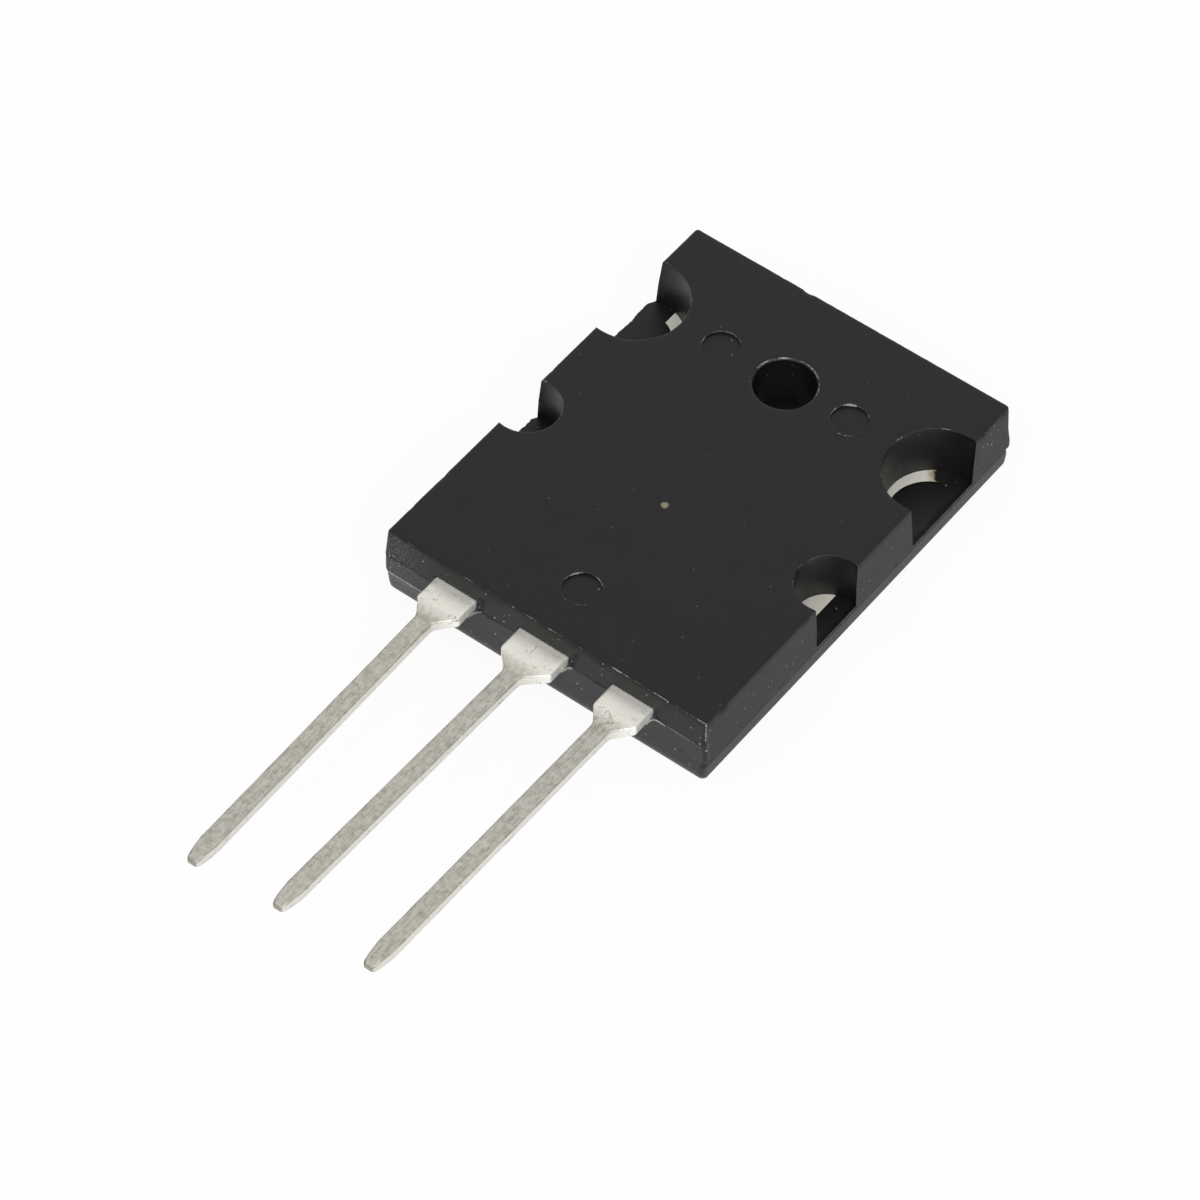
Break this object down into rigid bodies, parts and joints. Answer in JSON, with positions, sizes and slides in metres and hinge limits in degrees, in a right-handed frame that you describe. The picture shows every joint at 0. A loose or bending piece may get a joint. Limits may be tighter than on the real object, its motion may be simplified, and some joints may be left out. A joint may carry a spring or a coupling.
{
  "type": "power transistor",
  "caption": "Flat moulded power transistor with a screw hole, side notches, a metal heat-sink face and in-line flat leads.",
  "frame": {"origin": "centre of the screw hole on the mounting face", "axes": "+Z out of the marked face along the screw hole, +Y from the leads towards the screw-hole end, +X towards the emitter lead's side"},
  "size_m": [0.02, 0.0463, 0.0048],
  "materials": {
    "epoxy": "black mineral-filled epoxy, moulded matt",
    "nickel_plated_copper": "satin nickel plating on copper",
    "tin_plated_copper": "dull tin plating on copper, mottled and lightly scratched",
    "silicon": "polished silicon with aluminium pads",
    "solder": "grey solder",
    "aluminium_wire": "bright aluminium wire"
  },
  "bodies": {
    "root": {"moulded_body": "epoxy", "heat_sink": "nickel_plated_copper", "base_lead": "tin_plated_copper", "collector_lead": "tin_plated_copper", "emitter_lead": "tin_plated_copper", "transistor_chip": "silicon", "die_attach_solder": "solder", "base_bond_wire": "aluminium_wire", "emitter_bond_wire_1": "aluminium_wire", "emitter_bond_wire_2": "aluminium_wire"}
  },
  "joints": []
}
